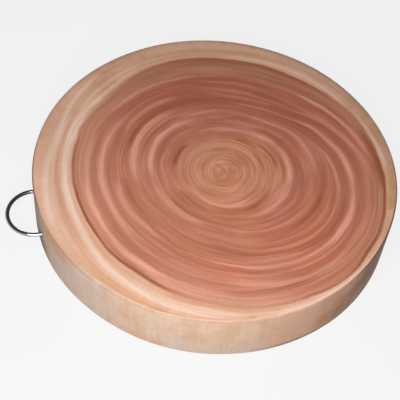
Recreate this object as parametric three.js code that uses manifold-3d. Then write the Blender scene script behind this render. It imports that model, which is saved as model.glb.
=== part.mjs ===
// Round chopping block: one slice sawn across a tree trunk, with a bowed wire handle
// glued into two holes drilled in its wall.
// Millimetres, +Z up. The origin is the centre of the face that the block rests on,
// and the handle stands out of the wall along -X.

import * as THREE from "three";
import { mergeVertices } from "three/addons/utils/BufferGeometryUtils.js";
import Module from "manifold-3d";

// The wooden round
const BLOCK_DIAMETER = 360;
const BLOCK_THICKNESS = 58;
const EDGE_ROUND = 2.5; // radius of the eased edge round the top and the base

// The wire handle
const WIRE_DIAMETER = 4;
const LEG_SPACING = 53.5; // between the centrelines of the two legs
const LEG_STRAIGHT = 2.5; // straight wire between the wall and the start of the bow
const LEG_DEPTH = 45; // how far each leg runs into the wood
const HANDLE_HEIGHT = 21.5; // from the base to the centreline of the wire

// The drilled sockets and the glue that fills them
const GLUE_WALL = 0.6; // glue round the leg
const GLUE_FLOOR = 1.5; // glue between the end of the leg and the shoulder of the drilled hole
const GLUE_SETBACK = 0.4; // how far the glue ends short of the wall
const DRILL_POINT_ANGLE = THREE.MathUtils.degToRad(118);
const FIT_GAP = 0.3; // between pieces that touch on the real object

// Facets of the round forms
const BLOCK_SEGMENTS = 120;
const EDGE_STEPS = 5;
const WIRE_SIDES = 16;
const WIRE_STEPS = 64;
const SOCKET_SEGMENTS = 24;

const blockRadius = BLOCK_DIAMETER / 2;
const wireRadius = WIRE_DIAMETER / 2;
const legOffset = LEG_SPACING / 2;
const socketRadius = wireRadius + FIT_GAP + GLUE_WALL + FIT_GAP;
const socketDepth = LEG_DEPTH + FIT_GAP + GLUE_FLOOR; // to the shoulder of the drill point
const drillHalfAngle = DRILL_POINT_ANGLE / 2;

// Distance from the block's axis to its wall, measured along X at a sideways offset.
const wallAt = (offset) => Math.sqrt(blockRadius ** 2 - offset ** 2);
const wallAtLegs = wallAt(legOffset);

const wood = new THREE.MeshStandardMaterial({ color: 0xb8795f, roughness: 0.55, metalness: 0 });
const steel = new THREE.MeshStandardMaterial({ color: 0xc9cbce, roughness: 0.18, metalness: 1 });
const glue = new THREE.MeshStandardMaterial({ color: 0x4b392b, roughness: 0.45, metalness: 0 });

const wasm = await Module();
wasm.setup();

function toSolid(geometry) {
  const bare = geometry.clone();
  bare.deleteAttribute("normal");
  bare.deleteAttribute("uv");
  const merged = mergeVertices(bare);
  return new wasm.Manifold(
    new wasm.Mesh({
      numProp: 3,
      vertProperties: merged.attributes.position.array,
      triVerts: new Uint32Array(merged.index.array),
    }),
  );
}

function toGeometry(solid) {
  const { vertProperties, triVerts } = solid.getMesh();
  const geometry = new THREE.BufferGeometry();
  geometry.setAttribute("position", new THREE.BufferAttribute(vertProperties, 3));
  geometry.setIndex(new THREE.BufferAttribute(triVerts, 1));
  geometry.computeVertexNormals();
  return geometry;
}

// A quarter circle of profile points, from one angle to another.
function edgeArc(centreRadius, centreHeight, fromAngle, toAngle) {
  const arc = new THREE.EllipseCurve(
    centreRadius, centreHeight, EDGE_ROUND, EDGE_ROUND, fromAngle, toAngle,
  );
  return arc.getPoints(EDGE_STEPS);
}

// The round as it leaves the saw and the sander, before it is drilled.
function turnedRound() {
  const profile = [
    new THREE.Vector2(0, 0),
    ...edgeArc(blockRadius - EDGE_ROUND, EDGE_ROUND, -Math.PI / 2, 0),
    ...edgeArc(blockRadius - EDGE_ROUND, BLOCK_THICKNESS - EDGE_ROUND, 0, Math.PI / 2),
    new THREE.Vector2(0, BLOCK_THICKNESS),
  ];
  return new THREE.LatheGeometry(profile, BLOCK_SEGMENTS).rotateX(Math.PI / 2);
}

// A form turned about the X axis from (radius, distance along +X) points.
function turnedAlongX(points) {
  const profile = points.map(([radius, along]) => new THREE.Vector2(radius, along));
  return new THREE.LatheGeometry(profile, SOCKET_SEGMENTS).rotateZ(-Math.PI / 2);
}

// What the drill takes away: a blind hole with a pointed end, open past the wall.
// Its +X end is the mouth, and X = 0 is the wall at the centreline of a leg.
function drilledHole() {
  const pointLength = socketRadius / Math.tan(drillHalfAngle);
  const mouth = wallAt(legOffset - socketRadius) - wallAtLegs + socketRadius;
  return turnedAlongX([
    [0, -socketDepth - pointLength],
    [socketRadius, -socketDepth],
    [socketRadius, mouth],
    [0, mouth],
  ]);
}

// The set glue: a cup round one leg, with its end following the drill point.
function glueCup() {
  const outer = socketRadius - FIT_GAP;
  const inner = wireRadius + FIT_GAP;
  const shoulder = socketDepth + FIT_GAP / Math.tan(drillHalfAngle) - FIT_GAP / Math.sin(drillHalfAngle);
  const pointLength = outer / Math.tan(drillHalfAngle);
  const mouth = wallAt(legOffset + socketRadius) - wallAtLegs - GLUE_SETBACK;
  const floor = LEG_DEPTH + FIT_GAP;
  return turnedAlongX([
    [0, -shoulder - pointLength],
    [outer, -shoulder],
    [outer, mouth],
    [inner, mouth],
    [inner, -floor],
    [0, -floor],
  ]);
}

// The half circle of wire between the two legs.
class Bow extends THREE.Curve {
  getPoint(t, target = new THREE.Vector3()) {
    const angle = Math.PI * (t - 0.5);
    return target.set(
      LEG_STRAIGHT + legOffset * Math.cos(angle),
      legOffset * Math.sin(angle),
      0,
    );
  }
}

// One length of round wire: in along one leg, round the bow and back along the other.
function bentWire() {
  const legEnd = (side) => new THREE.Vector3(-LEG_DEPTH, side * legOffset, 0);
  const bowEnd = (side) => new THREE.Vector3(LEG_STRAIGHT, side * legOffset, 0);
  const path = new THREE.CurvePath();
  path.add(new THREE.LineCurve3(legEnd(-1), bowEnd(-1)));
  path.add(new Bow());
  path.add(new THREE.LineCurve3(bowEnd(1), legEnd(1)));
  const section = new THREE.Shape(
    new THREE.EllipseCurve(0, 0, wireRadius, wireRadius).getPoints(WIRE_SIDES).slice(0, WIRE_SIDES),
  );
  return new THREE.ExtrudeGeometry(section, { steps: WIRE_STEPS, extrudePath: path, bevelEnabled: false });
}

function named(name, geometry, material) {
  const mesh = new THREE.Mesh(geometry, material);
  mesh.name = name;
  return mesh;
}

// The handle's own frame: +X points straight out of the wall, and its origin lies
// between the legs, where they leave the wood.
const handle = new THREE.Group();
handle.position.set(-wallAtLegs, 0, HANDLE_HEIGHT);
handle.rotation.z = Math.PI;
handle.updateMatrix();

const legSides = [
  { name: "front_leg_glue", y: legOffset },
  { name: "back_leg_glue", y: -legOffset },
];

handle.add(named("wire_handle", bentWire(), steel));
let round = toSolid(turnedRound());
for (const { name, y } of legSides) {
  const cup = named(name, glueCup(), glue);
  cup.position.y = y;
  handle.add(cup);
  const hole = drilledHole().translate(0, y, 0).applyMatrix4(handle.matrix);
  round = round.subtract(toSolid(hole));
}

const choppingBlock = new THREE.Group();
choppingBlock.name = "chopping_block";
choppingBlock.add(named("wood_round", toGeometry(round), wood), handle);

export default choppingBlock;
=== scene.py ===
import math

import bmesh
import bpy
from mathutils import Matrix, Vector


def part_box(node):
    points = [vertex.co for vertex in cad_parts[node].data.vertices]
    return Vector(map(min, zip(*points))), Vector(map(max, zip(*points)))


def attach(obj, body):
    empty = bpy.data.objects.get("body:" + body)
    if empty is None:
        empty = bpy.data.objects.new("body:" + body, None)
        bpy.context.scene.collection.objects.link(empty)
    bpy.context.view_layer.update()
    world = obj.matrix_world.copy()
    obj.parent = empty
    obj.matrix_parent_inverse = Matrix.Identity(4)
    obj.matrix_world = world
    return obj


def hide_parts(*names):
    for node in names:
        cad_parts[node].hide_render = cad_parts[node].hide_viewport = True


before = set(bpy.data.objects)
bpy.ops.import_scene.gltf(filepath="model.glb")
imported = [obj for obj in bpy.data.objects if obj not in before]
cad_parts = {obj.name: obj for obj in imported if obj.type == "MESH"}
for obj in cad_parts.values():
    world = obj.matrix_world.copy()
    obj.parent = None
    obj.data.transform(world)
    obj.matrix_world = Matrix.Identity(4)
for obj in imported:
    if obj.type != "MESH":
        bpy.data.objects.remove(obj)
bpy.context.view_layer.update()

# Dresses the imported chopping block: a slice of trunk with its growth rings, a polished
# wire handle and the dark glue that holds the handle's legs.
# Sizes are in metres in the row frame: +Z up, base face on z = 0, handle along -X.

bl_info = {
    "name": "Chopping block",
    "version": (1, 0, 0),
    "blender": (4, 5, 0),
    "location": "3D View > Sidebar > Chopping block",
    "description": "Builds a round end-grain chopping block with a bowed wire handle",
    "category": "Add Mesh",
}

MM = 0.001

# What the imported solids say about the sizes
ROUND_LOW, ROUND_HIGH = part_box("wood_round")
WIRE_LOW, WIRE_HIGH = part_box("wire_handle")
GLUE_LOW, GLUE_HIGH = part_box("front_leg_glue")
WIRE_THICK = WIRE_HIGH.z - WIRE_LOW.z
LEG_SPACING = WIRE_HIGH.y - WIRE_LOW.y - WIRE_THICK

# The sander's marks on the wall: depth of the waves, then each wave's turns, start and share
UNEVEN = 0.3 * MM
WAVES = ((2, 0.6, 0.5), (5, 2.1, 0.3), (11, 0.0, 0.2))

# Where the eased edge is rubbed rounder, by how much and how sharply, and its own unevenness
RUBBED_ANGLE = math.radians(216)
RUBBED_MORE = 0.9
RUBBED_POWER = 24
EDGE_WOBBLE = 0.08

# The drilled holes and the glue in them; HAIR keeps touching surfaces apart
HAIR = 0.02 * MM
GLUE_FLOOR = 1.8 * MM
DRILL_POINT = 1 / math.tan(math.radians(59))
DRILL_START = 5 * MM
GLUE_STEPS = (20 * MM, 5 * MM)
FLARE = 3 * MM

# Mouth of the glue: share of the way from the wood to the wire, and how far it sinks in mm
GLUE_MOUTH = ((0, 0.15), (0.12, 0.30), (0.35, 0.42), (0.62, 0.40), (0.86, 0.22), (1, 0.05))

# Facets of the forms
ROUND_SEGMENTS = 288
FACE_SHARES = (0, 0.15, 0.3, 0.45, 0.6, 0.75, 0.9)
WALL_SHARES = (0.25, 0.5, 0.75)
EDGE_STEPS = 10
SOCKET_SEGMENTS = 48
WIRE_SIDES = 32
LEG_STEPS = 24
BOW_STEPS = 96
WIRE_BEVEL = 0.3 * MM
SHARP_ANGLE = math.radians(40)


class BlockSizes(bpy.types.PropertyGroup):
    """Sizes of the wooden round and of the wire handle."""

    diameter: bpy.props.FloatProperty(
        name="Diameter", description="Across the round",
        default=ROUND_HIGH.y - ROUND_LOW.y, unit="LENGTH",
    )
    thickness: bpy.props.FloatProperty(
        name="Thickness", description="From the base face to the cutting face",
        default=ROUND_HIGH.z - ROUND_LOW.z, unit="LENGTH",
    )
    edge_round: bpy.props.FloatProperty(
        name="Edge round", description="Radius of the eased edges",
        default=2.5 * MM, unit="LENGTH",
    )
    wire: bpy.props.FloatProperty(
        name="Wire", description="Diameter of the handle's wire",
        default=WIRE_THICK, unit="LENGTH",
    )
    leg_spacing: bpy.props.FloatProperty(
        name="Leg spacing", description="Between the centrelines of the handle's legs",
        default=LEG_SPACING, unit="LENGTH",
    )
    handle_height: bpy.props.FloatProperty(
        name="Handle height", description="From the base face to the centreline of the wire",
        default=(WIRE_LOW.z + WIRE_HIGH.z) / 2, unit="LENGTH",
    )
    handle_tip: bpy.props.FloatProperty(
        name="Handle tip", description="From the block's axis to the outside of the bow",
        default=-WIRE_LOW.x, unit="LENGTH",
    )
    leg_end: bpy.props.FloatProperty(
        name="Leg end", description="From the block's axis to the ends of the legs in the wood",
        default=-WIRE_HIGH.x, unit="LENGTH",
    )
    leg_depth: bpy.props.FloatProperty(
        name="Leg depth", description="How far each leg runs into the wood",
        default=45 * MM, unit="LENGTH",
    )
    socket: bpy.props.FloatProperty(
        name="Socket", description="Diameter of the holes drilled for the legs",
        default=GLUE_HIGH.z - GLUE_LOW.z + 0.6 * MM, unit="LENGTH",
    )


def colour_of(name, description, default):
    return bpy.props.FloatVectorProperty(
        name=name, description=description, default=default, subtype="COLOR", min=0, max=1,
    )


class WoodLook(bpy.types.PropertyGroup):
    """Colours of the wood."""

    heart: colour_of("Heartwood", "Red-brown of the heartwood", (0.505, 0.182, 0.108))
    red_heart: colour_of("Red heartwood", "Redder heartwood at the near right", (0.515, 0.162, 0.09))
    far_heart: colour_of("Far heartwood", "Duller heartwood on the far side", (0.515, 0.178, 0.112))
    mauve: colour_of("Mauve heartwood", "Dull patches of the heartwood", (0.45, 0.17, 0.122))
    deep_heart: colour_of("Deep heartwood", "Darkest rings of the far heartwood", (0.455, 0.137, 0.083))
    brown: colour_of("Outer heartwood", "Browner wood along the far edge", (0.52, 0.22, 0.13))
    peach: colour_of("Peach heartwood", "Paler wood along the near edge", (0.68, 0.355, 0.24))
    core: colour_of("Core", "Tan wood round the pith", (0.585, 0.257, 0.153))
    orange_core: colour_of("Orange core", "Deeper tan at the right of the core", (0.575, 0.232, 0.125))
    pale_ring: colour_of("Pale ring", "Pale lines of the growth rings", (0.77, 0.362, 0.252))
    dark_ring: colour_of("Dark ring", "Dark lines of the growth rings", (0.355, 0.107, 0.05))
    sap: colour_of("Sapwood", "Pale rim of sapwood", (0.735, 0.425, 0.29))
    far_sap: colour_of("Far sapwood", "Pinker sapwood away from the handle", (0.80, 0.445, 0.30))
    warm_sap: colour_of("Warm sapwood", "Orange patches of the sapwood", (0.60, 0.315, 0.175))
    pale_sap: colour_of("Pale sapwood", "Pale streaks of the sapwood", (0.83, 0.60, 0.475))
    far_pale_sap: colour_of("Far pale sapwood", "Pinker streaks on the far side", (0.93, 0.60, 0.435))
    dark_sap: colour_of("Dark sapwood", "Dark streaks of the sapwood", (0.54, 0.28, 0.17))
    wall: colour_of("Wall", "Long grain of the wall", (0.64, 0.40, 0.265))
    pale_wall: colour_of("Pale wall", "Cream blots of the wall", (0.72, 0.52, 0.38))
    grey_wall: colour_of("Grey wall", "Lilac-grey stretch of the wall", (0.66, 0.49, 0.40))
    rosy_wall: colour_of("Rosy wall", "Pinker stretch of the wall", (0.715, 0.41, 0.285))
    rust_wall: colour_of("Rusty wall", "Red-orange spots of the wall", (0.525, 0.215, 0.095))
    warm_wall: colour_of("Warm wall", "Orange-tan patches of the wall", (0.62, 0.34, 0.20))
    # This dull grey-brown also serves as painted shade: on the far rim, and partly on the wall beside
    # the handle.
    dull_wall: colour_of("Dull wall", "Grey-brown wall and grime on the rim", (0.36, 0.27, 0.21))
    # This red-brown also serves partly as painted shade at the right end of the wall.
    brown_wall: colour_of("Brown wall", "Red-brown stretch of the wall", (0.355, 0.145, 0.062))
    # This dark colour serves real stains and glue-soaked wood, and also painted shade: the contact
    # shadow along the base and the shade low beside the handle.
    stain_and_shade: colour_of("Stain", "Dark stains, and wood soaked with glue", (0.12, 0.075, 0.045))


class HandleLook(bpy.types.PropertyGroup):
    """Colours of the wire handle and of the glue round its legs."""

    steel: colour_of("Steel", "Bright drawn wire", (0.42, 0.42, 0.43))
    worn_steel: colour_of("Worn steel", "Duller lines along the wire", (0.30, 0.30, 0.31))
    glue: colour_of("Glue", "Set resin in the drilled holes", (0.045, 0.026, 0.016))
    pale_glue: colour_of("Pale glue", "Wood dust caught in the resin", (0.13, 0.08, 0.05))


class StageLook(bpy.types.PropertyGroup):
    """Floor and light."""

    floor: colour_of("Floor", "Colour of the floor", (0.905, 0.905, 0.905))
    key: bpy.props.FloatProperty(
        name="Key lamp", description="Power of the soft lamp in front",
        default=9.9, unit="POWER",
    )
    fill: bpy.props.FloatProperty(
        name="Fill lamp", description="Power of the low lamp behind the block",
        default=6.0, unit="POWER",
    )


class Sock:
    """A socket of a shader tree. Its operators add Math nodes, so maths reads as written."""

    def __init__(self, shade, socket):
        self.shade = shade
        self.socket = socket

    def math(self, operation, *values):
        sockets = dict(enumerate(values))
        return self.shade.node("ShaderNodeMath", {"operation": operation}, sockets)

    def __add__(self, other):
        return self.math("ADD", self, other)

    __radd__ = __add__

    def __sub__(self, other):
        return self.math("SUBTRACT", self, other)

    def __rsub__(self, other):
        return self.math("SUBTRACT", other, self)

    def __mul__(self, other):
        return self.math("MULTIPLY", self, other)

    __rmul__ = __mul__

    def __truediv__(self, other):
        return self.math("DIVIDE", self, other)

    def __abs__(self):
        return self.math("ABSOLUTE", self)

    def at_least(self, other):
        return self.math("MAXIMUM", self, other)

    def at_most(self, other):
        return self.math("MINIMUM", self, other)


class Shade:
    """The node tree of one finish."""

    def __init__(self, tree):
        self.tree = tree
        self.tree.nodes.clear()

    def node(self, kind, settings=None, sockets=None, out=0):
        """Adds a node: its type, its settings, then the values or links of its sockets."""
        node = self.tree.nodes.new(kind)
        for key, value in (settings or {}).items():
            if key == "stops":
                self.set_stops(node.color_ramp, value)
            elif key == "points":
                self.set_points(node.mapping, value)
            else:
                setattr(node, key, value)
        for key, value in (sockets or {}).items():
            socket = node.inputs[key] if isinstance(key, int) else self.by_identifier(node, key)
            if isinstance(value, Sock):
                self.tree.links.new(value.socket, socket)
            else:
                socket.default_value = value
        return Sock(self, node.outputs[out]) if node.outputs else node

    @staticmethod
    def by_identifier(node, key):
        return next(s for s in node.inputs if s.identifier == key)

    @staticmethod
    def set_stops(ramp, stops):
        while len(ramp.elements) < len(stops):
            ramp.elements.new(0.5)
        for element, (position, colour) in zip(ramp.elements, stops):
            element.position = position
            element.color = (*colour, 1)

    @staticmethod
    def set_points(mapping, points):
        curve = mapping.curves[0]
        while len(curve.points) < len(points):
            curve.points.new(0.5, 0.5)
        for point, place in zip(curve.points, points):
            point.location = place
        mapping.update()

    def mix(self, first, second, factor):
        """A colour between two others."""
        wide = [c if isinstance(c, Sock) else (*c, 1) for c in (first, second)]
        sockets = {"Factor_Float": factor, "A_Color": wide[0], "B_Color": wide[1]}
        return self.node("ShaderNodeMix", {"data_type": "RGBA"}, sockets, out=2)


def seen_straight(shade):
    """1 where the camera, a mirror or clear glass sees the surface, 0 where it only gives light."""
    rays = ("Is Camera Ray", "Is Glossy Ray", "Is Transmission Ray")
    return sum(shade.node("ShaderNodeLightPath", out=ray) for ray in rays)


def new_material(name):
    material = bpy.data.materials.new(name)
    material.use_nodes = True
    return material, Shade(material.node_tree)


def finish_with(shade, **sockets):
    """Adds the shader and the output; sockets are named with _ for a space."""
    named = {key.replace("_", " "): value for key, value in sockets.items()}
    surface = shade.node("ShaderNodeBsdfPrincipled", None, named)
    shade.node("ShaderNodeOutputMaterial", None, {"Surface": surface})


def bump(shade, height, strength, distance):
    """Relief for a shader's Normal."""
    sockets = {"Strength": strength, "Distance": distance, "Height": height}
    return shade.node("ShaderNodeBump", None, sockets)


# Growth rings as they lie on the cutting face: outlines about the pith, in mm, with a radius
# every 30 degrees. Angles turn left from the direction that points to the right of the view,
# which lies GRAIN_TURN from the row's +X.
GRAIN_TURN = math.radians(17.45)
PITH = (6.5, 3.0)
PITH_LEAN = (-0.10, 0.10)
FACE_HEIGHT = 58.0
OUTLINES = (
    (47, 41, 36, 33, 35.5, 39.5, 43, 45.5, 48.5, 55.5, 56, 52),
    (66.5, 59.5, 51, 45, 46.5, 52, 57, 60, 63, 67, 70, 70.5),
    (92, 84.5, 72, 67, 64.5, 69, 71.5, 72.5, 75.5, 79, 89.5, 95),
    (112, 95, 81, 78, 80, 87, 88.5, 88, 91, 100, 112, 119.5),
    (127, 109, 88, 84, 98, 104.5, 105, 108.5, 110.5, 119, 131, 135),
    (146, 125.5, 103.5, 100.5, 108, 113.5, 118.5, 120.5, 126.5, 138, 149, 152.5),
    (152, 139.5, 126, 121, 124, 128, 133, 137.5, 144, 152, 158, 159),
    (161, 154, 148, 147.5, 151, 143.5, 148, 149, 156, 165, 171, 168.5),
    (166, 157.5, 154, 152.5, 156, 150, 154.5, 158, 168.5, 176.5, 177, 174.5),
    (172, 166, 163, 162, 167, 176.5, 171.5, 178, 181, 184, 183, 181),
)
HEART_EDGE = 8
CURVE_TOP = 200  # radius at the top of an outline's curve

# Where an outline leaves the curve through its radii: ring, middle angle, half span, shift in mm
DENTS = (
    (8, 164, 11, 2.0),
    (8, 257, 26, -1.5),
    (8, 315, 13, 1.8),
    (10, 164, 25, -5.0),
)

# Middle of the fine rings inside the first outline, in mm
CORE_EYE = (7.0, -8.0)

# A twig's figure on the wall: its angle, and its distance from the axis and height in mm
SWIRL_ANGLE = 258
SWIRL_RADIUS = 180.0
SWIRL_HEIGHT = 30.0

# Soft spots on the wall: middle angle, half span, height and reach in mm, strength
RUST_SPOTS = ((312, 8, 19, 13, 1.0), (320, 9, 31, 13, 1.0), (331, 10, 43, 19, 1.0))
BROWN_SPOTS = ((330, 13, 44, 22, 1.0),)
PALE_SPOTS = ((318, 9, 50, 10, 0.55),)
DARK_SPOTS = ((317, 6, 14, 11, 0.25), (340, 11, 46, 18, 0.25), (329, 6, 38, 16, 0.3))

# Pale and dark lines that follow the rings: ring, outward shift and width in mm, then
# arcs of (middle angle, half span, strength), pale where the strength is above 0.
GRAIN_LINES = (
    (1, -5.5, 6.5, ((268, 46, 0.6),)),
    (1, -2.0, 3.0, ((266, 46, 1.0),)),
    (1, 1.0, 3.0, ((54, 22, -1.0),)),
    (1, 4.0, 4.0, ((172, 24, -2.0),)),
    (1, 3.5, 3.6, ((315, 22, -1.1),)),
    (1, 5.0, 3.2, ((290, 26, -0.8),)),
    (1, 6.0, 3.4, ((22, 26, -1.2),)),
    (2, -5.0, 5.0, ((248, 26, -0.3),)),
    (2, 7.0, 2.6, ((252, 24, -0.9),)),
    (2, 0.0, 5.6, ((22, 42, 1.4), (70, 40, 0.9), (332, 36, 0.7))),
    (2, 9.0, 6.0, ((25, 42, -0.9),)),
    (3, -11.0, 3.2, ((58, 24, 0.6),)),
    (3, -7.0, 4.0, ((165, 40, -0.5), (243, 26, -0.8))),
    (3, 0.0, 3.4, ((35, 40, 1.3), (312, 42, 0.7))),
    (3, 0.0, 4.8, ((160, 46, 1.5), (235, 32, 0.9))),
    (3, 6.0, 3.6, ((328, 20, -0.75),)),
    (3, 8.5, 3.8, ((160, 34, -0.9), (350, 24, -0.6))),
    (4, -6.0, 4.0, ((0, 25, -0.5),)),
    (4, 0.0, 3.4, ((357, 30, 1.0), (310, 34, 0.7), (240, 34, 0.4))),
    (4, 0.0, 5.4, ((167, 40, 1.7),)),
    (4, 4.5, 2.6, ((303, 26, -0.9), (276, 24, -0.7))),
    (4, 7.5, 4.2, ((151, 26, -1.6), (178, 22, -0.6))),
    (4, 9.0, 6.0, ((121, 20, -0.8),)),
    (4, 8.5, 3.8, ((327, 20, -1.0), (0, 28, -0.45))),
    (5, -8.0, 5.0, ((219, 24, -0.7),)),
    (5, 0.0, 3.6, ((308, 46, 1.3), (250, 30, 0.4), (60, 30, 0.6))),
    (5, 0.0, 4.6, ((145, 24, 1.0), (222, 26, 0.9))),
    (5, 0.0, 5.0, ((352, 36, 1.3), (20, 26, 1.0))),
    (5, 3.0, 9.0, ((184, 26, -0.5),)),
    (5, 9.0, 4.4, ((0, 34, -0.5),)),
    (6, -3.0, 5.0, ((345, 30, 0.6),)),
    (6, 0.0, 4.6, ((192, 44, 1.5), (25, 28, 0.8), (82, 34, 0.8), (330, 22, 0.4))),
    (6, 0.5, 7.5, ((299, 28, 0.8),)),
    (6, 6.0, 9.0, ((58, 20, -0.35),)),
    (6, 8.0, 4.4, ((200, 50, -0.6),)),
    (7, 0.0, 4.6, ((33, 26, 2.0), (62, 25, 0.5), (132, 28, 1.1))),
    (7, -0.5, 5.4, ((196, 30, 1.3), (226, 32, 1.4), (256, 24, 1.0))),
    (7, -4.0, 2.4, ((290, 22, -0.9),)),
    (8, -11.0, 2.6, ((88, 38, -0.5),)),
    (8, -3.0, 6.0, ((85, 46, -0.9),)),
    (8, -5.0, 4.6, ((222, 28, -0.5),)),
    (8, -4.0, 5.5, ((11, 17, -1.6),)),
    (8, -1.2, 2.4, ((345, 34, -1.3), (317, 20, -0.9))),
    (8, -1.2, 2.8, ((198, 28, -1.4), (228, 34, -1.5), (254, 22, -1.0), (291, 24, -0.8))),
    (9, -3.0, 9.0, ((262, 22, 0.5),)),
    (9, 0.0, 3.6, ((20, 17, 0.9), (66, 32, 1.3), (311, 29, 1.35))),
    (9, 0.0, 4.8, ((190, 30, 1.4), (222, 34, 0.8), (250, 30, 0.5))),
    (9, 0.0, 7.5, ((164, 16, 1.3),)),
    (9, 8.0, 3.6, ((75, 50, -0.6), (205, 40, -0.5))),
    (10, 0.0, 4.0, ((160, 20, 1.2),)),
    (10, 0.0, 6.5, ((190, 26, 0.9),)),
)


def span(shade, value, low, high, to_low=0.0, to_high=1.0, smooth=True):
    """Turns a value's way from low to high into one from to_low to to_high, held at both ends."""
    settings = {"interpolation_type": "SMOOTHSTEP" if smooth else "LINEAR"}
    sockets = {"Value": value, "From Min": low, "From Max": high, "To Min": to_low, "To Max": to_high}
    return shade.node("ShaderNodeMapRange", settings, sockets)


def noise(shade, place, scale, detail=2.0):
    """Smooth noise, about -1 to 1."""
    sockets = {"Vector": place, "Scale": scale, "Detail": detail, "Roughness": 0.55}
    return shade.node("ShaderNodeTexNoise", None, sockets) * 2 - 1


def vector(shade, x, y, z):
    return shade.node("ShaderNodeCombineXYZ", None, {"X": x, "Y": y, "Z": z})


def parts_of(shade, place):
    return [shade.node("ShaderNodeSeparateXYZ", None, {"Vector": place}, out=axis) for axis in "XYZ"]


def object_mm(shade):
    """Where a point lies on its object, in mm."""
    return times(shade, shade.node("ShaderNodeTexCoord", out="Object"), 1 / MM)


def length_of(shade, place):
    return shade.node("ShaderNodeVectorMath", {"operation": "LENGTH"}, {0: place}, out="Value")


def times(shade, place, factor):
    """A vector or a colour times a number."""
    return shade.node("ShaderNodeVectorMath", {"operation": "SCALE"}, {0: place, "Scale": factor})


def arc(shade, unit, middle, half_span, strength=1.0):
    """Strength inside an arc of directions, fading to 0 at its ends."""
    way = (math.cos(math.radians(middle)), math.sin(math.radians(middle)), 0)
    settings = {"operation": "DOT_PRODUCT"}
    nearness = shade.node("ShaderNodeVectorMath", settings, {0: unit, 1: way}, out="Value")
    end = math.cos(math.radians(half_span))
    full = math.cos(math.radians(half_span * 0.4))
    return span(shade, nearness, end, full, 0.0, strength)


def mean_widths():
    """Mean width of each ring, in mm."""
    radii = [0.0] + [sum(row) / len(row) for row in OUTLINES]
    return [outer - inner for inner, outer in zip(radii, radii[1:])]


class Grain:
    """Where a point lies in the trunk: its place in mm, its way from the pith, its ring and so on."""

    def __init__(self, shade):
        self.shade = shade
        metres = shade.node("ShaderNodeTexCoord", out="Object")
        turn = {"Vector": metres, "Angle": GRAIN_TURN}
        turned = shade.node("ShaderNodeVectorRotate", {"rotation_type": "Z_AXIS"}, turn)
        self.place = times(shade, turned, 1 / MM)
        x, y, self.height = parts_of(shade, self.place)
        self.fibre = vector(shade, x, y, self.height * 0.06)
        across = vector(shade, x, y, 0.0)
        self.around = self.unit_of(across)
        self.reach = length_of(shade, across)
        depth = self.height - FACE_HEIGHT
        x = x - depth * PITH_LEAN[0]
        y = y - depth * PITH_LEAN[1]
        self.eye = vector(shade, x - CORE_EYE[0], y - CORE_EYE[1], 0.0)
        x = x - PITH[0]
        y = y - PITH[1]
        flat = vector(shade, x, y, 0.0)
        wave = noise(shade, self.fibre, 0.02) * 1.6 + noise(shade, self.fibre, 0.08) * 0.6
        self.radius = length_of(shade, flat) + wave
        self.unit = self.unit_of(flat)
        angle = y.math("ARCTAN2", y, x)
        self.outlines = [self.outline(angle, radii) for radii in OUTLINES]
        for ring, middle, half_span, shift in DENTS:
            self.outlines[ring - 1] += self.arc(middle, half_span, shift)
        shares = self.ring_shares()
        self.ring = sum(shares)
        self.spread = sum(share * width for share, width in zip(shares, mean_widths()))

    def unit_of(self, flat):
        return self.shade.node("ShaderNodeVectorMath", {"operation": "NORMALIZE"}, {0: flat})

    def outline(self, angle, radii):
        """Radius of one ring in the direction of the point; the curve overlaps itself by a step."""
        reach = len(radii) // 2 + 1
        points = []
        for step in range(-reach, reach + 1):
            points.append(((step + reach) / (2 * reach), radii[step % len(radii)] / CURVE_TOP))
        along = angle * (len(radii) / (2 * math.pi)) / (2 * reach) + 0.5
        share = self.shade.node("ShaderNodeFloatCurve", {"points": points}, {"Value": along})
        return share * CURVE_TOP

    def ring_shares(self):
        """How much of each ring lies between the pith and the point."""
        inner = 0.0
        shares = []
        for outer in self.outlines:
            shares.append(span(self.shade, self.radius, inner, outer, smooth=False))
            inner = outer
        return shares

    def lines(self):
        """The pale and dark lines, from -1 to 1 or so."""
        total = 0.0
        for ring, shift, width, arcs in GRAIN_LINES:
            away = abs(self.radius - self.outlines[ring - 1] - shift)
            line = span(self.shade, away, width, 0.0)
            total = line * sum(self.arc(*along) for along in arcs) + total
        return total

    def arc(self, middle, half_span, strength=1.0):
        return arc(self.shade, self.unit, middle, half_span, strength)

    def wall_arc(self, middle, half_span, strength=1.0):
        return arc(self.shade, self.around, middle, half_span, strength)

    def rays(self):
        """A place that changes fast round the pith and slowly along a radius."""
        x, y, _ = parts_of(self.shade, times(self.shade, self.unit, 70.0))
        return vector(self.shade, x, y, self.ring * 0.8)

    def ring_noise(self, across, along, detail):
        """Noise drawn out along the rings; across is per mm, along per radian."""
        return self.drawn_round(self.unit, self.spread * across, along, detail)

    def core_noise(self, across, along, detail):
        """Noise drawn out along the fine rings round the pith."""
        reach = length_of(self.shade, self.eye)
        return self.drawn_round(self.unit_of(self.eye), reach * across, along, detail)

    def drawn_round(self, unit, across, along, detail):
        x, y, _ = parts_of(self.shade, unit)
        place = vector(self.shade, across, x * along, y * along)
        return noise(self.shade, place, 1.0, detail)


def core_colour(shade, grain, look):
    """Colour of the tan wood round the pith."""
    core = shade.mix(look.core, look.orange_core, grain.arc(45, 70) + grain.arc(280, 55, 0.9))
    middle = span(shade, grain.ring, 0.6, 0.2) * grain.arc(90, 120, 0.15)
    core = shade.mix(core, look.peach, middle)
    return times(shade, core, grain.arc(100, 60, 0.09) + 1.0)


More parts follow.
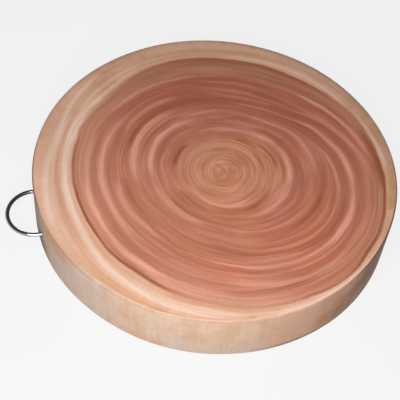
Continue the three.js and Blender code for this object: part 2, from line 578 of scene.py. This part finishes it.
def heart_colour(shade, grain, look, tone):
    """Colour of the heartwood, which dulls and darkens towards the far side."""
    far = grain.arc(80, 115) * span(shade, grain.ring, 1.0, 2.0)
    deep = grain.arc(88, 105) * span(shade, grain.ring, 3.4, 4.6)
    outer = span(shade, grain.ring, 6.6, 7.5) * (1 - grain.arc(264, 50))
    outer = outer.at_least(span(shade, grain.ring, 6.2, 6.8) * grain.arc(338, 42))
    front = span(shade, grain.ring, 2.2, 2.8) * span(shade, grain.ring, 5.0, 4.4)
    outer = outer.at_least(front * grain.arc(270, 28, 0.4))
    rosy = span(shade, grain.ring, 4.8, 5.6) * grain.arc(208, 50)
    edge = span(shade, grain.ring, 6.8, 7.3) * grain.arc(264, 48, 0.45)
    edge = edge + span(shade, grain.ring, 5.2, 6.2) * grain.arc(273, 30, 0.28)
    beside = span(shade, grain.ring, 2.0, 3.4) * grain.arc(195, 55, 0.14) + rosy * 0.11
    tan = span(shade, grain.ring, 2.0, 1.7) * grain.arc(5, 66, 0.9)
    tan = tan.at_least(span(shade, grain.ring, 2.9, 2.3) * grain.arc(275, 34, 0.4))
    tan = tan.at_least(span(shade, grain.ring, 1.08, 0.9))
    dulled = span(shade, noise(shade, grain.fibre, 0.02, 2.0), 0.0, 0.5, 0.0, 0.6)
    heart = shade.mix(look.heart, look.red_heart, grain.arc(305, 48, 0.85))
    heart = shade.mix(heart, look.far_heart, far)
    heart = shade.mix(heart, look.mauve, dulled + rosy * 0.25)
    heart = shade.mix(heart, look.deep_heart, deep)
    brown = shade.mix(look.brown, look.red_heart, grain.arc(42, 36, 0.35))
    heart = shade.mix(heart, brown, outer)
    heart = shade.mix(heart, look.peach, edge + beside)
    heart = shade.mix(heart, core_colour(shade, grain, look), tan)
    pale = span(shade, tone, 0.0, 1.3, smooth=False) * (1 - far * 0.15)
    heart = shade.mix(heart, look.pale_ring, pale)
    return shade.mix(heart, look.dark_ring, span(shade, tone, 0.0, -1.3, smooth=False))


def sap_colour(shade, grain, look, tone, past):
    """Colour of the sapwood, mottled and streaked along the rings."""
    mottle = noise(shade, grain.fibre, 0.035, 3.0)
    inner = span(shade, past, 9.0, 2.0) * grain.arc(278, 26, 0.6)
    patches = mottle + grain.arc(345, 60, 0.4) + grain.arc(20, 40, 0.3) + grain.arc(138, 36, 0.2)
    scuffs = span(shade, noise(shade, grain.place, 0.09), 0.05, 0.5)
    scuffs = scuffs * span(shade, grain.reach, 168.0, 177.0)
    outer = span(shade, grain.reach, 163.0, 172.0) * grain.arc(226, 34, 0.75)
    warm = span(shade, patches, 0.0, 0.9) + inner + outer + scuffs * 0.7
    far = grain.arc(92, 92)
    rim = shade.mix(look.sap, look.far_sap, far)
    rim = shade.mix(rim, look.warm_sap, warm)
    pale = shade.mix(look.pale_sap, look.far_pale_sap, far)
    rim = shade.mix(rim, pale, span(shade, tone, 0.0, 1.1, smooth=False))
    return shade.mix(rim, look.dark_sap, span(shade, tone, 0.0, -1.1, smooth=False))


def end_grain_colour(shade, grain, look):
    """Colour of the sawn faces."""
    rings = span(shade, grain.ring, 0.9, 1.08)
    broad = grain.ring_noise(0.14, 1.0, 1.0) + grain.ring_noise(0.34, 1.6, 1.0) * 0.55
    core = grain.core_noise(0.24, 0.5, 1.0) * 1.4 + grain.core_noise(0.09, 1.0, 1.0) * 0.5
    tone = grain.lines() * 0.75 + (broad * rings + core * (1 - rings)) * 0.75
    past = grain.radius - grain.outlines[HEART_EDGE - 1]
    heart = heart_colour(shade, grain, look, tone)
    rim = sap_colour(shade, grain, look, tone, past)
    soft = grain.arc(150, 20, 7.0) + grain.arc(276, 32, 3.0) + grain.arc(33, 18, 3.0) + 1.2
    colour = shade.mix(heart, rim, span(shade, past, soft * -0.5, soft))
    fine = grain.ring_noise(0.34, 1.6, 1.0) * 0.10 + grain.ring_noise(0.8, 2.4, 1.0) * 0.15
    fine = fine * span(shade, past, 4.0, -2.0, 1.0, 1.35)
    core_lines = grain.core_noise(0.6, 1.2, 2.0) * 0.48
    return times(shade, colour, fine * rings + core_lines * (1 - rings) + 1.0)


def wall_swirl(shade, grain):
    """Tall curved lines on the wall, where a twig once grew."""
    way = math.radians(SWIRL_ANGLE)
    middle = (math.cos(way) * SWIRL_RADIUS, math.sin(way) * SWIRL_RADIUS, SWIRL_HEIGHT)
    settings = {"operation": "SUBTRACT"}
    offset = shade.node("ShaderNodeVectorMath", settings, {0: grain.place, 1: middle})
    x, y, z = parts_of(shade, offset)
    away = length_of(shade, vector(shade, x, y, z * 0.45))
    turn = away * 2.2
    return turn.math("COSINE", turn) * span(shade, x, 1.0, 4.0) * span(shade, away, 12.0, 8.0)


def wall_spots(shade, grain, spots):
    """Soft spots on the wall, which fade sideways, upwards and downwards."""
    total = 0.0
    for middle, half_span, height, reach, strength in spots:
        level = span(shade, abs(grain.height - height), reach, reach * 0.4)
        total = grain.wall_arc(middle, half_span, strength) * level + total
    return total


def wall_stains_and_base_shadow(shade, grain, look, wall, broken):
    """Adds the rusty, brown, pale and dark stains to the colour of the wall, and a painted contact
    shadow along its base at the right.
    """
    rust = wall_spots(shade, grain, RUST_SPOTS) * (broken * 0.6 + 0.25)
    wall = shade.mix(wall, look.rust_wall, rust)
    brown = wall_spots(shade, grain, BROWN_SPOTS) * (broken * 0.5 + 0.4)
    wall = shade.mix(wall, look.brown_wall, brown)
    wall = shade.mix(wall, look.sap, wall_spots(shade, grain, PALE_SPOTS))
    wall = shade.mix(wall, look.stain_and_shade, wall_spots(shade, grain, DARK_SPOTS))
    # Painted contact shadow: the wall darkens towards its base at the right, where it meets the floor.
    base = span(shade, grain.height, 8.0, 1.5) * grain.wall_arc(320, 40, 0.75)
    return shade.mix(wall, look.stain_and_shade, base)


def wall_colour(shade, grain, look):
    """Colour of the wall, where the grain runs down from face to face."""
    streaks = noise(shade, grain.fibre, 0.12, 3.0)
    blots = noise(shade, grain.place, 0.05, 3.0)
    mottle = noise(shade, grain.place, 0.12, 3.0)
    patches = noise(shade, grain.place, 0.02, 2.0)
    high = span(shade, grain.height, 26.0, 50.0)
    low = span(shade, grain.height, 34.0, 8.0)
    wall = shade.mix(look.wall, look.pale_wall, span(shade, blots + streaks * 0.3, -0.5, 0.5))
    grey = grain.wall_arc(230, 21) + grain.wall_arc(258, 12, 0.35) + low * grain.wall_arc(279, 24, 0.8)
    wall = shade.mix(wall, look.grey_wall, span(shade, grey + blots * 0.5, 0.2, 1.0))
    rosy = grain.wall_arc(305, 21, 0.9) + blots * 0.4 + mottle * 0.5
    wall = shade.mix(wall, look.rosy_wall, span(shade, rosy, 0.05, 1.0))
    warm = grain.wall_arc(247, 10, 0.5) + grain.wall_arc(317, 15, 0.75)
    top = grain.wall_arc(219, 14, 0.8) + grain.wall_arc(240, 12, 0.35) + grain.wall_arc(327, 18, 0.95)
    warm = warm + high * top
    wall = shade.mix(wall, look.warm_wall, span(shade, warm + patches + blots * 0.4, 0.2, 1.0) * 0.85)
    # Partly painted shade: beside the handle the wall is dulled to grey-brown and darkened low down
    # under the handle, partly duller wood, partly shade where the wall turns from the light.
    wall = shade.mix(wall, look.dull_wall, grain.wall_arc(192, 20))
    wall = shade.mix(wall, look.stain_and_shade, low * grain.wall_arc(199, 15, 0.85))
    # Partly painted shade: the red-brown stretch at the right end of the wall is partly red-brown wood,
    # partly shade where the wall turns from the light.
    lean = high * grain.wall_arc(329, 10, 0.2) - low * grain.wall_arc(331, 12, 0.45)
    brown = grain.wall_arc(349, 36) + lean + blots * 0.3
    wall = shade.mix(wall, look.brown_wall, span(shade, brown, 0.1, 0.9))
    broken = span(shade, mottle + streaks * 0.6, -0.4, 0.35)
    wall = wall_stains_and_base_shadow(shade, grain, look, wall, broken)
    fibres = noise(shade, grain.fibre, 0.5, 2.0)
    light = streaks * 0.05 + fibres * 0.025 + mottle * 0.13 + wall_swirl(shade, grain) * 0.06 + 1.0
    return times(shade, wall, light)


def glue_stain(shade, sizes):
    """How far glue has soaked into the wall round the mouths of the drilled holes."""
    x, y, z = parts_of(shade, shade.node("ShaderNodeTexCoord", out="Object"))
    sideways = abs(y) - sizes.leg_spacing / 2
    away = length_of(shade, vector(shade, 0.0, sideways, z - sizes.handle_height))
    patch = noise(shade, vector(shade, 0.0, y, z), 500.0) * 0.8 * MM
    soaked = span(shade, away + patch, sizes.socket / 2 + 2.2 * MM, sizes.socket / 2)
    return soaked * span(shade, x, 0.0, -0.1) * 0.8


def open_pores(shade, grain):
    """1 in the pores of the wood, which run along its fibres."""
    sockets = {"Vector": grain.fibre, "Scale": 0.8, "Randomness": 1.0}
    spacing = shade.node("ShaderNodeTexVoronoi", {"feature": "F1"}, sockets, out="Distance")
    return span(shade, spacing, 0.28, 0.12)


def painted_rim_shade(shade, grain, look, colour, upright, side):
    """Paints shade on the rim: painted shade on the eased edge and the near rim, and a painted dark
    line of shade along the far rim in the dull wall colour.
    """
    # Painted shade: the eased edge, found by how far its normal tilts, is darkened to tone down its lit
    # highlight.
    painted_edge_shade = span(shade, upright, 0.92, 0.7) * span(shade, upright, 0.08, 0.3)
    # Painted shade: the outer rim at the front-left, where the lamp lights the edge most, is darkened.
    near = grain.arc(250, 42, 0.11) + grain.arc(217, 20, 0.09)
    near_rim_shade = span(shade, grain.reach, 174.0, 177.5) * near * span(shade, upright, 0.15, 0.6)
    # Painted shade: the far rim, which turns away from the light, is darkened to the dull wall colour.
    far = grain.arc(95, 100, 0.45) + grain.arc(60, 45, 0.35)
    painted_far_shade = span(shade, grain.reach, 173.0, 178.0) * far * (1 - side)
    return shade.mix(times(shade, colour, 1 - painted_edge_shade * 0.2 - near_rim_shade), look.dull_wall, painted_far_shade)


def wood_finish(sizes, look):
    """Sanded wood: ringed on both faces, streaked down the wall, with open pores."""
    material, shade = new_material("end_grain_wood")
    grain = Grain(shade)
    normal = shade.node("ShaderNodeTexCoord", out="Normal")
    upright = abs(parts_of(shade, normal)[2])
    side = span(shade, upright, 0.985, 0.80)
    colour = shade.mix(end_grain_colour(shade, grain, look), wall_colour(shade, grain, look), side)
    pores = open_pores(shade, grain)
    grit = noise(shade, grain.fibre, 0.55, 3.0)
    rays = noise(shade, grain.rays(), 1.0, 2.0)
    hairlines = grain.ring_noise(1.6, 4.0, 2.0) * (1 - side)
    light = grit * (0.15 - side * 0.11) + rays * 0.05 + hairlines * 0.13 - pores * 0.12 + 1.0
    colour = painted_rim_shade(shade, grain, look, times(shade, colour, light), upright, side)
    colour = shade.mix(colour, look.stain_and_shade, glue_stain(shade, sizes))
    rough = grit * 0.05 + pores * 0.1 + 0.56
    relief = bump(shade, grit * 0.4 - pores, 0.35, 0.12 * MM)
    finish_with(shade, Base_Color=colour, Roughness=rough, Normal=relief, Specular_IOR_Level=0.25)
    return material


def steel_finish(sizes, look):
    """Bright drawn wire, with faint lines that follow its length."""
    material, shade = new_material("polished_wire")
    place = object_mm(shade)
    x, y, z = parts_of(shade, place)
    past_bow = (x - bow_centre(sizes) / MM).at_most(0.0)
    lane = length_of(shade, vector(shade, past_bow, y, 0.0))
    drawn = noise(shade, vector(shade, lane * 3.0, z * 3.0, (x + y) * 0.02), 1.0, 2.0)
    dulled = noise(shade, place, 0.12, 2.0)
    colour = shade.mix(look.steel, look.worn_steel, span(shade, drawn + dulled * 0.6, -0.1, 0.8))
    rough = drawn * 0.05 + dulled * 0.04 + 0.16
    finish_with(
        shade, Base_Color=colour, Metallic=1.0, Roughness=rough,
        Normal=bump(shade, drawn, 0.2, 0.03 * MM), Specular_Tint=(0.40, 0.40, 0.41, 1),
    )
    return material


def glue_finish(look):
    """Dark resin that set with wood dust in it."""
    material, shade = new_material("set_glue")
    place = object_mm(shade)
    cloud = noise(shade, place, 0.7, 3.0)
    dust = noise(shade, place, 4.0, 2.0)
    colour = shade.mix(look.glue, look.pale_glue, span(shade, cloud + dust * 0.5, 0.1, 0.9))
    rough = dust * 0.08 + cloud * 0.1 + 0.42
    relief = bump(shade, cloud + dust * 0.3, 0.5, 0.1 * MM)
    finish_with(shade, Base_Color=colour, Roughness=rough, Normal=relief)
    return material


def link_form(name, form):
    """Links a bmesh as an object and frees it."""
    mesh = bpy.data.meshes.new(name)
    form.to_mesh(mesh)
    form.free()
    linked = bpy.data.objects.new(name, mesh)
    bpy.context.scene.collection.objects.link(linked)
    return linked


def new_piece(name, form, material, slot, *nodes):
    """Links a finished form as a piece that stands for CAD nodes."""
    piece = link_form(name, form)
    piece.data.materials.append(material)
    piece.data.shade_smooth()
    piece.data.set_sharp_from_angle(angle=SHARP_ANGLE)
    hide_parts(*nodes)
    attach(piece, "root")
    return piece


def lathe(profile_at, segments, about=Matrix.Identity(4)):
    """A closed form round Z; profile_at(angle) gives (radius, height) points from axis to axis."""
    form = bmesh.new()
    columns = []
    for step in range(segments):
        angle = 2 * math.pi * step / segments
        column = []
        for radius, height in profile_at(angle):
            point = about @ Vector((radius * math.cos(angle), radius * math.sin(angle), height))
            shared = columns and radius == 0
            column.append(columns[0][len(column)] if shared else form.verts.new(point))
        columns.append(column)
    for left, right in zip(columns, columns[1:] + columns[:1]):
        for low in range(len(left) - 1):
            corners = [left[low], right[low], right[low + 1], left[low + 1]]
            form.faces.new(list(dict.fromkeys(corners)))
    bmesh.ops.recalc_face_normals(form, faces=form.faces)
    return form


def wall_radius(sizes, angle):
    """Radius of the wall, which the sander leaves a little uneven."""
    wave = sum(math.sin(turns * angle + start) * share for turns, start, share in WAVES)
    return sizes.diameter / 2 - UNEVEN * (1 - wave) / 2


def eased_edge(sizes, angle):
    """Radius of the eased edge, which is rubbed rounder beside the handle."""
    beside = math.cos(angle - RUBBED_ANGLE) * 0.5 + 0.5
    wobble = EDGE_WOBBLE * math.sin(7 * angle)
    return sizes.edge_round * (1 + RUBBED_MORE * beside ** RUBBED_POWER + wobble)


def round_profile(sizes, angle):
    """Half section of the round, from the middle of the base to the middle of the cutting face."""
    radius = wall_radius(sizes, angle)
    edge = eased_edge(sizes, angle)
    flat = [radius * share for share in FACE_SHARES]
    quarter = [math.pi / 2 * step / EDGE_STEPS for step in range(EDGE_STEPS + 1)]
    base = [(r, 0) for r in flat]
    base += [(radius - edge + edge * math.sin(a), edge - edge * math.cos(a)) for a in quarter]
    wall = [(radius, sizes.thickness * share) for share in WALL_SHARES]
    top = [(r, sizes.thickness - h) for r, h in reversed(base)]
    return base + wall + top


def carve(form, tools):
    """Cuts closed forms out of another one."""
    body = link_form("body", form)
    cutters = [link_form("cutter", tool) for tool in tools]
    for cutter in cutters:
        cut = body.modifiers.new("cut", "BOOLEAN")
        cut.operation = "DIFFERENCE"
        cut.solver = "EXACT"
        cut.object = cutter
    evaluated = body.evaluated_get(bpy.context.evaluated_depsgraph_get())
    carved = bmesh.new()
    carved.from_mesh(evaluated.to_mesh())
    for spent in (body, *cutters):
        bpy.data.meshes.remove(spent.data)
    return carved


def leg_sides(sizes):
    """Sideways place of the front leg and of the back leg."""
    return -sizes.leg_spacing / 2, sizes.leg_spacing / 2


def wall_at(sizes, y):
    """Where the wall lies along X on the handle's side, at a sideways place."""
    angle = math.atan2(y, -sizes.diameter / 2)
    return -math.sqrt(wall_radius(sizes, angle) ** 2 - y * y)


def along_leg(sizes, y):
    """Turns a form's +Z into the way into the wood, with its origin where the leg leaves the wall."""
    mouth = Vector((wall_at(sizes, y), y, sizes.handle_height))
    return Matrix.Translation(mouth) @ Matrix.Rotation(math.pi / 2, 4, "Y")


def drilled_hole(sizes, y):
    """What the drill takes away for one leg, from outside the wall to the drill's point."""
    radius = sizes.socket / 2
    depth = sizes.leg_depth + GLUE_FLOOR
    point = depth + radius * DRILL_POINT
    profile = [(0, -DRILL_START), (radius, -DRILL_START), (radius, depth), (0, point)]
    return lathe(lambda angle: profile, SOCKET_SEGMENTS, along_leg(sizes, y))


def glue_cup(sizes, y):
    """Glue round one leg: it fills the hole, and its mouth dips between the wood and the wire."""
    outer = sizes.socket / 2 - HAIR
    inner = sizes.wire / 2 + HAIR
    depth = sizes.leg_depth + GLUE_FLOOR - HAIR
    dip = [(outer + (inner - outer) * share, sunk * MM) for share, sunk in GLUE_MOUTH]
    well = [(inner, sizes.leg_depth + HAIR), (0, sizes.leg_depth + HAIR)]
    sides = [(outer, height) for height in (depth, *GLUE_STEPS)]
    profile = [(0, depth + outer * DRILL_POINT), *sides, *dip, *well]
    form = lathe(lambda angle: profile, SOCKET_SEGMENTS, along_leg(sizes, y))
    straight = wall_at(sizes, y)
    for point in form.verts:
        if point.co.x < straight + FLARE:
            point.co.x += wall_at(sizes, point.co.y) - straight
    return form


class BLOCK_OT_round(bpy.types.Operator):
    """Turns the wooden round and drills the two holes for the handle"""

    bl_idname = "chopping_block.turn_round"
    bl_label = "Turn the round"

    def execute(self, context):
        sizes = context.scene.block_sizes
        form = lathe(lambda angle: round_profile(sizes, angle), ROUND_SEGMENTS)
        form = carve(form, [drilled_hole(sizes, y) for y in leg_sides(sizes)])
        finish = wood_finish(sizes, context.scene.wood_look)
        new_piece("trunk_slice", form, finish, "end_grain_wood", "wood_round")
        return {"FINISHED"}


def bow_centre(sizes):
    """Where the middle of the bow's half circle lies along X."""
    return -(sizes.handle_tip - sizes.wire / 2 - sizes.leg_spacing / 2)


def handle_path(sizes):
    """Centreline of the wire as (point, way ahead): in one leg, round the bow, out of the other."""
    half = sizes.leg_spacing / 2
    centre = bow_centre(sizes)
    reach = centre + sizes.leg_end
    path = []
    for step in range(LEG_STEPS):
        path.append(((-sizes.leg_end + reach * step / LEG_STEPS, -half), (-1, 0)))
    for step in range(BOW_STEPS + 1):
        angle = math.pi * step / BOW_STEPS
        point = (centre - half * math.sin(angle), -half * math.cos(angle))
        path.append((point, (-math.cos(angle), math.sin(angle))))
    for step in range(1, LEG_STEPS + 1):
        path.append(((centre - reach * step / LEG_STEPS, half), (1, 0)))
    return path


def bent_wire(sizes):
    """Round wire along the handle's path, with cut ends that are slightly bevelled."""
    up = Vector((0, 0, 1))
    form = bmesh.new()
    rings = []
    for point, ahead in handle_path(sizes):
        across = up.cross(Vector((*ahead, 0)))
        middle = Vector((*point, sizes.handle_height))
        ring = []
        for step in range(WIRE_SIDES):
            angle = 2 * math.pi * step / WIRE_SIDES
            offset = across * math.cos(angle) + up * math.sin(angle)
            ring.append(form.verts.new(middle + offset * sizes.wire / 2))
        rings.append(ring)
    for low, high in zip(rings, rings[1:]):
        for step in range(WIRE_SIDES):
            after = (step + 1) % WIRE_SIDES
            form.faces.new([low[step], low[after], high[after], high[step]])
    ends = [form.faces.new(rings[0]), form.faces.new(rings[-1])]
    rims = [edge for end in ends for edge in end.edges]
    bmesh.ops.bevel(form, geom=rims, offset=WIRE_BEVEL, segments=2, affect="EDGES", profile=0.5)
    bmesh.ops.recalc_face_normals(form, faces=form.faces)
    return form


class BLOCK_OT_handle(bpy.types.Operator):
    """Bends the wire handle"""

    bl_idname = "chopping_block.bend_handle"
    bl_label = "Bend the handle"

    def execute(self, context):
        sizes = context.scene.block_sizes
        finish = steel_finish(sizes, context.scene.handle_look)
        new_piece("bowed_wire", bent_wire(sizes), finish, "polished_wire", "wire_handle")
        return {"FINISHED"}


class BLOCK_OT_glue(bpy.types.Operator):
    """Fills the drilled holes with glue round the handle's legs"""

    bl_idname = "chopping_block.fill_glue"
    bl_label = "Fill the glue"

    def execute(self, context):
        sizes = context.scene.block_sizes
        finish = glue_finish(context.scene.handle_look)
        for leg, y in zip(("front", "back"), leg_sides(sizes)):
            new_piece(leg + "_leg_resin", glue_cup(sizes, y), finish, "set_glue", leg + "_leg_glue")
        return {"FINISHED"}


# The floor: its size, the light it gives back, and how far it shows its plain colour
FLOOR_RADIUS = 8.0
FLOOR_DROP = 0.05 * MM
FLOOR_BOUNCE = (0.10, 0.10, 0.10)
FLOOR_GLOW = 1.01
FLOOR_PLAIN = 0.92

# The room: the light that it gives, and what the wire mirrors from the floor up
DIM_ROOM = (0.045, 0.045, 0.045)
ROOM_STOPS = (
    (0.0, (0.85, 0.85, 0.85)),
    (0.22, (0.7, 0.7, 0.7)),
    (0.5, (0.07, 0.07, 0.075)),
)

# Lamps and camera
KEY_PLACE = (-0.30, -0.60, 0.62)
KEY_SIZE = (0.5, 0.4)
FILL_PLACE = (0.55, 0.95, 0.045)
FILL_SIZE = (1.0, 0.08)
LAMP_AIM = Vector((0, 0, 0.03))
CAMERA_PLACE = (-0.20219, -0.60211, 0.80555)
CAMERA_AIM = Vector((-0.02550, -0.03997, 0.058))
CAMERA_ROLL = math.radians(5.95)
CAMERA_LENS = 89.44
CAMERA_SENSOR = 36


class BLOCK_OT_stage(bpy.types.Operator):
    """Lays the pale floor and sets the lamps and the camera"""

    bl_idname = "chopping_block.set_stage"
    bl_label = "Set the stage"

    def execute(self, context):
        scene = context.scene
        look = scene.stage_look
        scene.view_settings.view_transform = "Standard"
        self.lay_floor(look)
        self.light(scene, look)
        self.aim_camera(scene)
        return {"FINISHED"}

    def lay_floor(self, look):
        form = bmesh.new()
        bmesh.ops.create_circle(form, cap_ends=True, segments=96, radius=FLOOR_RADIUS)
        floor = link_form("floor", form)
        floor.location.z = -FLOOR_DROP
        material, shade = new_material("pale_floor")
        seen = seen_straight(shade)
        tone = shade.mix(FLOOR_BOUNCE, look.floor, seen)
        lit = shade.node("ShaderNodeBsdfDiffuse", None, {"Color": tone})
        glow = {"Color": (*look.floor, 1), "Strength": FLOOR_GLOW}
        plain = shade.node("ShaderNodeEmission", None, glow)
        both = shade.node("ShaderNodeMixShader", None, {0: seen * FLOOR_PLAIN, 1: lit, 2: plain})
        shade.node("ShaderNodeOutputMaterial", None, {"Surface": both})
        floor.data.materials.append(material)

    def light(self, scene, look):
        world = bpy.data.worlds.new("studio")
        scene.world = world
        world.use_nodes = True
        shade = Shade(world.node_tree)
        around = shade.node("ShaderNodeTexCoord", out="Generated")
        height = shade.node("ShaderNodeSeparateXYZ", None, {"Vector": around}, out="Z")
        ramp = shade.node("ShaderNodeValToRGB", {"stops": ROOM_STOPS}, {"Fac": height})
        tone = shade.mix(DIM_ROOM, ramp, seen_straight(shade))
        glow = shade.node("ShaderNodeBackground", None, {"Color": tone, "Strength": 1.0})
        shade.node("ShaderNodeOutputWorld", None, {"Surface": glow})
        self.add_lamp(scene, "key", KEY_PLACE, KEY_SIZE, look.key)
        self.add_lamp(scene, "fill", FILL_PLACE, FILL_SIZE, look.fill)

    def add_lamp(self, scene, name, place, size, power):
        data = bpy.data.lights.new(name, "AREA")
        data.shape = "RECTANGLE"
        data.size, data.size_y = size
        data.energy = power
        lamp = bpy.data.objects.new(name, data)
        lamp.location = place
        aim = LAMP_AIM - lamp.location
        lamp.rotation_euler = aim.to_track_quat("-Z", "Y").to_euler()
        scene.collection.objects.link(lamp)

    def aim_camera(self, scene):
        data = bpy.data.cameras.new("camera")
        data.sensor_width = CAMERA_SENSOR
        data.lens = CAMERA_LENS
        camera = bpy.data.objects.new("camera", data)
        camera.location = CAMERA_PLACE
        level = (CAMERA_AIM - camera.location).to_track_quat("-Z", "Y").to_matrix()
        camera.rotation_euler = (level @ Matrix.Rotation(CAMERA_ROLL, 3, "Z")).to_euler()
        scene.collection.objects.link(camera)
        scene.camera = camera


class BLOCK_PT_sidebar(bpy.types.Panel):
    """Lists the steps of the chopping block in the sidebar"""

    bl_label = "Chopping block"
    bl_space_type = "VIEW_3D"
    bl_region_type = "UI"
    bl_category = "Chopping block"

    def draw(self, context):
        for step in STEPS:
            self.layout.operator(step.bl_idname)


STEPS = (BLOCK_OT_round, BLOCK_OT_handle, BLOCK_OT_glue, BLOCK_OT_stage)
CLASSES = (BlockSizes, WoodLook, HandleLook, StageLook, *STEPS, BLOCK_PT_sidebar)


def register():
    for cls in CLASSES:
        bpy.utils.register_class(cls)
    bpy.types.Scene.block_sizes = bpy.props.PointerProperty(type=BlockSizes)
    bpy.types.Scene.wood_look = bpy.props.PointerProperty(type=WoodLook)
    bpy.types.Scene.handle_look = bpy.props.PointerProperty(type=HandleLook)
    bpy.types.Scene.stage_look = bpy.props.PointerProperty(type=StageLook)


def unregister():
    del bpy.types.Scene.stage_look
    del bpy.types.Scene.handle_look
    del bpy.types.Scene.wood_look
    del bpy.types.Scene.block_sizes
    for cls in reversed(CLASSES):
        bpy.utils.unregister_class(cls)


def main():
    register()
    bpy.ops.chopping_block.turn_round()
    bpy.ops.chopping_block.bend_handle()
    bpy.ops.chopping_block.fill_glue()
    bpy.ops.chopping_block.set_stage()


if __name__ == "__main__":
    main()
